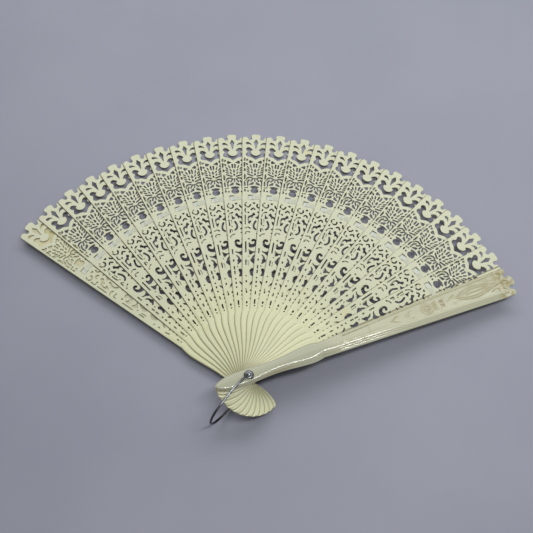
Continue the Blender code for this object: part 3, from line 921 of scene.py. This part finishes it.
def steel(name, tint, stretch, wear_and_sheen=None):
    """Drawn steel, a little dull, with fine scratches and darker tarnish, and a painted highlight
    where a lighter colour is given.
    """
    material, tree, shader = new_material(name)
    coords, (_, _, height) = object_coords(tree)
    scratch = noise(tree, coords, 900.0, 4.0, stretch)
    tarnish = ramp(tree, noise(tree, coords, 260.0, 3.0), 0.45, 0.7)
    color = mix(tree, tarnish, tint, tuple(c * 0.7 for c in tint))
    if wear_and_sheen:
        # painted highlight on the middle of the bail's upper arm
        color = mix(tree, arm_highlight_mask(tree, coords, height), color, wear_and_sheen)
    tree.links.new(color, shader.inputs["Base Color"])
    shader.inputs["Metallic"].default_value = 1.0
    tree.links.new(ramp(tree, scratch, 0.3, 0.7, 0.2, 0.42), shader.inputs["Roughness"])
    bump(tree, shader, scratch, 0.2, 0.06 * MM)
    return material


STICK_IVORY = ivory("ivory_sticks", THICK, carved=False)
GUARD_IVORY = ivory("ivory_guards", GUARD_THICK, carved=True)
SATIN = satin("cream_satin")
RIVET_STEEL = steel("steel_rivet", RIVET_GREY, (1.0, 1.0, 1.0))
BAIL_STEEL = steel("steel_wire", WIRE_GREY, (1.0, 1.0, 0.2), wear_and_sheen=WIRE_HIGHLIGHT)


def finish_of(name):
    if name.endswith("guard"):
        return GUARD_IVORY
    if name.startswith("ribbon"):
        return SATIN
    return {"rivet": RIVET_STEEL, "bail": BAIL_STEEL}.get(name, STICK_IVORY)


for node in frame["nodes"].values():
    for material_slot in node.material_slots:
        material_slot.material = finish_of(node.name)


# ---------------------------------------------------------------- the fan's pieces
def add_piece(name, mesh, place, material, body, slot_name, *nodes):
    """Links a piece that rides on a body and stands for CAD nodes."""
    piece = bpy.data.objects.new(name, mesh)
    bpy.context.scene.collection.objects.link(piece)
    piece.matrix_world = place
    if not mesh.materials:
        mesh.materials.append(material)
    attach(piece, body)
    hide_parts(*nodes)
    return piece


def body_name(number):
    return "base" if number == STICKS else f"stick_{number:02d}"


def build_sticks():
    meshes = [stick_mesh("pierced_even", True), stick_mesh("pierced_odd", False)]
    for k in range(1, STICKS + 1):
        place = stick_place(stick_angle(k), STICK_Z[k])
        name, node, mesh = f"pierced_stick_{k:02d}", f"stick_{k:02d}", meshes[k % 2]
        add_piece(name, mesh, place, STICK_IVORY, body_name(k), "stick_ivory", node)


def build_guards():
    mesh = guard_mesh("carved_guard")
    front = stick_place(FRONT_ANGLE, FRONT_Z)
    name = "front_guard"
    add_piece("carved_front_guard", mesh, front, GUARD_IVORY, name, "guard_ivory", name)
    turned = Matrix.Rotation(math.pi, 4, "Y")
    turned.translation.z = GUARD_THICK * MM
    back = stick_place(FRONT_ANGLE + SPREAD, BACK_Z) @ turned
    add_piece("carved_back_guard", mesh, back, GUARD_IVORY, "base", "guard_ivory", "back_guard")


RIBBON_REACH = 128.4
RIBBON_HALF = 1.55
RIBBON_HALF_THICK = 0.05
SECTION = ((-1, -1), (-0.4, -1), (0.4, -1), (1, -1), (1, 1), (0.4, 1), (-0.4, 1), (-1, 1))


def strip_mesh(name, path):
    """A ribbon along (across, height) points in millimetres, bent round the rivet."""
    path = smooth(path, closed=False, steps=4)
    shape = bmesh.new()
    rows = []
    for u, z in path:
        turn = u / RIBBON_REACH
        row = []
        for side, lift in SECTION:
            reach = RIBBON_REACH + side * RIBBON_HALF
            x, y = reach * math.sin(turn), reach * math.cos(turn)
            row.append(shape.verts.new((x * MM, y * MM, (z + lift * RIBBON_HALF_THICK) * MM)))
        rows.append(row)
    for one, two in zip(rows, rows[1:]):
        for i in range(len(SECTION)):
            j = (i + 1) % len(SECTION)
            shape.faces.new((one[i], one[j], two[j], two[i]))
    shape.faces.new(rows[0][::-1])
    shape.faces.new(rows[-1])
    bmesh.ops.recalc_face_normals(shape, faces=shape.faces)
    mesh = bpy.data.meshes.new(name)
    shape.to_mesh(mesh)
    shape.free()
    soften(mesh, 50)
    return mesh


def build_ribbon():
    """Each length rises through its stick's slot and runs on to the next slot."""
    low, high = -GAP / 2, THICK + GAP / 2
    rise = [(-3.55, low), (-3.0, low + 0.01), (-1.9, 0.12), (-0.9, 0.55), (-0.1, high - 0.01)]
    run = [(0.8, high), (3.0, high), (6.0, high), (8.75, high)]
    mesh = strip_mesh("ribbon_length", rise + run)
    for k in range(1, STICKS + 1):
        place = stick_place(stick_angle(k), STICK_Z[k])
        name, node = f"woven_ribbon_{k:02d}", f"ribbon_{k:02d}"
        piece = add_piece(name, mesh, place, SATIN, body_name(k), "ribbon_satin", node)
        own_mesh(piece)
    under = STICK_Z[STICKS] - GAP / 2
    end = strip_mesh("ribbon_end", [(-3.5, 0.0), (-1.0, 0.0), (2.0, 0.0), (4.1, 0.0)])
    place = stick_place(stick_angle(STICKS), under)
    add_piece("woven_ribbon_end", end, place, SATIN, "base", "ribbon_satin", "ribbon_end")


PIN_RADIUS = 1.25
HEAD_RADIUS = 1.9
DOME_RADIUS = 1.5
FOOT_RADIUS = 2.3
FOOT_THICK = 0.7
DOME_HEIGHT = 1.3
EYE_SPACE = 1.64  # room for the bail's eye between a guard and the head or foot
HEAD_Z = TOP_Z + EYE_SPACE
SHOULDER = 0.3  # height of the head's shoulder below its dome
FLAT = 0.06  # small roundings of the head
RIVET_SIDES = 48


def build_rivet():
    """A turned pin: a domed head with a small shoulder, and a clenched foot."""
    profile = [(0.0, HEAD_Z + DOME_HEIGHT)]
    for degrees in (80, 68, 56, 44, 32, 20, 9):
        t = math.radians(degrees)
        height = HEAD_Z + SHOULDER + (DOME_HEIGHT - SHOULDER) * math.sin(t)
        profile.append((DOME_RADIUS * math.cos(t), height))
    profile += [(DOME_RADIUS + 0.02, HEAD_Z + 0.24), (HEAD_RADIUS - FLAT, HEAD_Z + 0.18)]
    profile += [(HEAD_RADIUS, HEAD_Z + 0.1), (HEAD_RADIUS - FLAT, HEAD_Z), (PIN_RADIUS, HEAD_Z)]
    profile += [(PIN_RADIUS, FOOT_THICK), (FOOT_RADIUS - 0.1, FOOT_THICK)]
    profile += [(FOOT_RADIUS, FOOT_THICK - 0.1)]
    profile += [(FOOT_RADIUS, 0.18), (FOOT_RADIUS - 0.12, 0.05), (FOOT_RADIUS - 0.3, 0.0)]
    profile += [(0.9, 0.0), (0.6, 0.14), (0.0, 0.18)]
    verts = []
    faces = []
    for k in range(RIVET_SIDES):
        t = 2 * math.pi * k / RIVET_SIDES
        for radius, z in profile[1:-1]:
            verts.append((radius * math.cos(t) * MM, radius * math.sin(t) * MM, z * MM))
    rows = len(profile) - 2
    top, bottom = len(verts), len(verts) + 1
    verts += [(0.0, 0.0, profile[0][1] * MM), (0.0, 0.0, profile[-1][1] * MM)]
    for k in range(RIVET_SIDES):
        a, b = k * rows, ((k + 1) % RIVET_SIDES) * rows
        faces.append((top, a, b))
        faces.append((bottom, b + rows - 1, a + rows - 1))
        for i in range(rows - 1):
            faces.append((a + i, a + i + 1, b + i + 1, b + i))
    mesh = bpy.data.meshes.new("turned_rivet")
    mesh.from_pydata(verts, [], faces)
    soften(mesh, 35)
    add_piece("turned_rivet", mesh, FAN.copy(), RIVET_STEEL, "base", "rivet_steel", "rivet")


WIRE_RADIUS = 0.70
BAIL_REACH = 33.5
EYE_CLEARANCE = 0.3
ARM_BOW = ((4.2, -1.25), (9.0, -1.45), (15.0, -1.4), (20.0, -1.1))  # the upper arm
LOWER_ARM = ((15.0, 0.0), (9.0, 0.1), (4.5, 0.35))
BEND_SWAY = 0.4


def build_bail():
    """Bent wire: an eye round the rivet above, an arm, the bend, an arm and an eye below."""
    low_z = FOOT_THICK + EYE_SPACE / 2
    high_z = TOP_Z + EYE_SPACE / 2
    bend = (high_z - low_z) / 2
    eye = PIN_RADIUS + EYE_CLEARANCE + WIRE_RADIUS
    turn_in = BAIL_REACH - WIRE_RADIUS - bend
    ring = [math.radians(a) for a in np.linspace(290, 20, 28)]
    ring = [(eye * math.cos(t), eye * math.sin(t)) for t in ring]
    path = [(x, -y, high_z) for x, y in ring]
    path += [(x, y, high_z) for x, y in ARM_BOW]
    for t in np.radians(np.linspace(-90, 90, 33)):
        sway = -BEND_SWAY * (1 - math.sin(t))
        height = (low_z + high_z) / 2 - bend * math.sin(t)
        path.append((turn_in + bend * math.cos(t), sway, height))
    path += [(x, y, low_z) for x, y in LOWER_ARM]
    path += [(x, y, low_z) for x, y in reversed(ring)]
    curve = bpy.data.curves.new("bent_wire", "CURVE")
    curve.dimensions = "3D"
    curve.bevel_depth = WIRE_RADIUS * MM
    curve.bevel_resolution = 6
    curve.use_fill_caps = True
    spline = curve.splines.new("POLY")
    spline.points.add(len(path) - 1)
    for point, (x, y, z) in zip(spline.points, path):
        point.co = (x * MM, y * MM, z * MM, 1.0)
    spline.use_smooth = True
    wire = bpy.data.objects.new("wire_shape", curve)
    bpy.context.scene.collection.objects.link(wire)
    graph = bpy.context.evaluated_depsgraph_get()
    mesh = bpy.data.meshes.new_from_object(wire.evaluated_get(graph))
    bpy.data.objects.remove(wire, do_unlink=True)
    mesh.name = "bent_wire"
    soften(mesh, 50)
    mesh.transform(BAIL_FRAME)
    place = Matrix.Identity(4)
    add_piece("bent_wire_bail", mesh, place, BAIL_STEEL, "bail", "bail_steel", "bail")


build_sticks()
build_guards()
build_ribbon()
build_rivet()
build_bail()


# ---------------------------------------------------------------- floor, light and camera
FLOOR_HALF = 3.0
FLOOR_GAP = 0.02 * MM  # below the fan's lowest point


def build_floor():
    heights = [(p.matrix_world @ v.co).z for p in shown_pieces() for v in p.data.vertices]
    shape = bmesh.new()
    bmesh.ops.create_grid(shape, x_segments=1, y_segments=1, size=FLOOR_HALF)
    mesh = bpy.data.meshes.new("floor")
    shape.to_mesh(mesh)
    shape.free()
    floor = bpy.data.objects.new("floor", mesh)
    bpy.context.scene.collection.objects.link(floor)
    floor.location.z = min(heights) - FLOOR_GAP
    material, tree, shader = new_material("pale_grey_table")
    coords, _ = object_coords(tree)
    cloud = ramp(tree, noise(tree, coords, 9.0, 4.0), 0.3, 0.7)
    color = mix(tree, cloud, FLOOR_DARK, FLOOR_LIGHT)
    tree.links.new(color, shader.inputs["Base Color"])
    shader.inputs["Roughness"].default_value = 0.55
    mesh.materials.append(material)


ACROSS = (1.0, 0.0, 0.0)
WORLD_COLOR = (1.0, 0.985, 0.95, 1.0)
WORLD_STRENGTH = 0.23
# Place, aim, size, power and the direction of the long side
LAMPS = {
    "key": ((-0.02, -0.06, 1.20), (0.0, 0.05, 0.0), (0.60, 0.40), 1.0, ACROSS),
    "back": ((0.02, 0.64, 0.70), (0.0, 0.08, 0.0), (1.30, 0.32), 5.3, ACROSS),
    "window": ((0.255, 0.020, 0.86), (0.05, 0.03, 0.02), (0.48, 0.09), 2.8, (0.876, 0.482, 0.0)),
}


def area_light(name, place, aim, size, power, along):
    light = bpy.data.lights.new(name, "AREA")
    light.shape = "RECTANGLE"
    light.size, light.size_y = size
    light.energy = power
    lamp = bpy.data.objects.new(name, light)
    bpy.context.scene.collection.objects.link(lamp)
    z = (Vector(place) - Vector(aim)).normalized()
    y = z.cross(Vector(along)).normalized()
    turn = Matrix((y.cross(z), y, z)).transposed().to_4x4()
    lamp.matrix_world = Matrix.Translation(place) @ turn


def build_light():
    world = bpy.data.worlds.new("studio")
    world.use_nodes = True
    back = world.node_tree.nodes["Background"]
    back.inputs["Color"].default_value = WORLD_COLOR
    back.inputs["Strength"].default_value = WORLD_STRENGTH
    bpy.context.scene.world = world
    for name, lamp in LAMPS.items():
        area_light(name, *lamp)


FOCAL = 51.745
SENSOR = 36.0
CAMERA_TURN = math.radians(5.492)
CAMERA_TILT = math.radians(67.406)
CAMERA_ROLL = math.radians(1.531)
CAMERA_PLACE = (0.02046, -0.10881, 0.45986)


def build_camera():
    camera = bpy.data.cameras.new("view")
    camera.lens = FOCAL
    camera.sensor_width = SENSOR
    camera.clip_start = 0.01
    eye = bpy.data.objects.new("view", camera)
    bpy.context.scene.collection.objects.link(eye)
    turn = Matrix.Rotation(CAMERA_TURN, 3, "Z")
    ahead = turn @ Vector((0.0, math.cos(CAMERA_TILT), -math.sin(CAMERA_TILT)))
    right = turn @ Vector((1.0, 0.0, 0.0))
    up = right.cross(ahead)
    across = right * math.cos(CAMERA_ROLL) + up * math.sin(CAMERA_ROLL)
    above = up * math.cos(CAMERA_ROLL) - right * math.sin(CAMERA_ROLL)
    rotation = Matrix((across, above, -ahead)).transposed().to_4x4()
    eye.matrix_world = Matrix.Translation(CAMERA_PLACE) @ rotation
    bpy.context.scene.camera = eye


build_floor()
build_light()
build_camera()
bpy.context.scene.view_settings.view_transform = "Standard"
